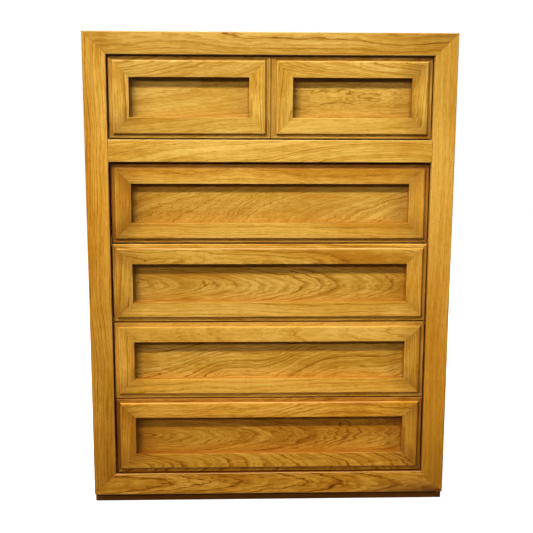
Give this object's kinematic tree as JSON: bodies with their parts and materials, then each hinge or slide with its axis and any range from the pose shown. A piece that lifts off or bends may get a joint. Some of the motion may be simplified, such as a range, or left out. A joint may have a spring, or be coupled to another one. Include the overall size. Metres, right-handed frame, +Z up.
{
  "type": "chest of drawers",
  "caption": "Tall oak chest of drawers: a mitred face frame, moulded drawer fronts whose sunk panels are the finger pulls, and a dark set-back plinth.",
  "frame": {"origin": "on the floor, under the middle of the chest", "axes": "+Z up, -Y out of the drawer fronts, +X to the right as seen from the front"},
  "size_m": [0.9652, 0.4572, 1.27],
  "materials": {
    "honey_oak": "satin lacquer on honey-coloured oak",
    "dark_stain": "dark brown stain",
    "pale_hardwood": "planed and sealed",
    "plywood": "sanded and sealed"
  },
  "bodies": {
    "case": {"back_panel": "plywood", "bottom_panel": "plywood", "divider_rail_1": "pale_hardwood", "divider_rail_2": "pale_hardwood", "divider_rail_3": "pale_hardwood", "face_bottom_rail": "honey_oak", "face_cross_rail": "honey_oak", "face_left_stile": "honey_oak", "face_right_stile": "honey_oak", "face_top_rail": "honey_oak", "kicker_rail": "pale_hardwood", "left_side_panel": "honey_oak", "plinth_back": "dark_stain", "plinth_front": "dark_stain", "plinth_left": "dark_stain", "plinth_right": "dark_stain", "right_side_panel": "honey_oak", "runner_left_1": "pale_hardwood", "runner_left_2": "pale_hardwood", "runner_left_3": "pale_hardwood", "runner_left_4": "pale_hardwood", "runner_left_5": "pale_hardwood", "runner_right_1": "pale_hardwood", "runner_right_2": "pale_hardwood", "runner_right_3": "pale_hardwood", "runner_right_4": "pale_hardwood", "runner_right_5": "pale_hardwood", "top_panel": "honey_oak"},
    "drawer_1": {"drawer_1_back": "pale_hardwood", "drawer_1_bottom": "plywood", "drawer_1_frame_left": "honey_oak", "drawer_1_frame_right": "honey_oak", "drawer_1_front_board": "honey_oak", "drawer_1_left_side": "pale_hardwood", "drawer_1_right_side": "pale_hardwood"},
    "drawer_2": {"drawer_2_back": "pale_hardwood", "drawer_2_bottom": "plywood", "drawer_2_frame": "honey_oak", "drawer_2_front_board": "honey_oak", "drawer_2_left_side": "pale_hardwood", "drawer_2_right_side": "pale_hardwood"},
    "drawer_3": {"drawer_3_back": "pale_hardwood", "drawer_3_bottom": "plywood", "drawer_3_frame": "honey_oak", "drawer_3_front_board": "honey_oak", "drawer_3_left_side": "pale_hardwood", "drawer_3_right_side": "pale_hardwood"},
    "drawer_4": {"drawer_4_back": "pale_hardwood", "drawer_4_bottom": "plywood", "drawer_4_frame": "honey_oak", "drawer_4_front_board": "honey_oak", "drawer_4_left_side": "pale_hardwood", "drawer_4_right_side": "pale_hardwood"},
    "drawer_5": {"drawer_5_back": "pale_hardwood", "drawer_5_bottom": "plywood", "drawer_5_frame": "honey_oak", "drawer_5_front_board": "honey_oak", "drawer_5_left_side": "pale_hardwood", "drawer_5_right_side": "pale_hardwood"}
  },
  "joints": [
    {"name": "drawer_1_slide", "type": "slide", "parent": "case", "child": "drawer_1", "axis": [0, -1, 0], "range_m": [0, 0.3]},
    {"name": "drawer_2_slide", "type": "slide", "parent": "case", "child": "drawer_2", "axis": [0, -1, 0], "range_m": [0, 0.3]},
    {"name": "drawer_3_slide", "type": "slide", "parent": "case", "child": "drawer_3", "axis": [0, -1, 0], "range_m": [0, 0.3]},
    {"name": "drawer_4_slide", "type": "slide", "parent": "case", "child": "drawer_4", "axis": [0, -1, 0], "range_m": [0, 0.3]},
    {"name": "drawer_5_slide", "type": "slide", "parent": "case", "child": "drawer_5", "axis": [0, -1, 0], "range_m": [0, 0.3]}
  ]
}
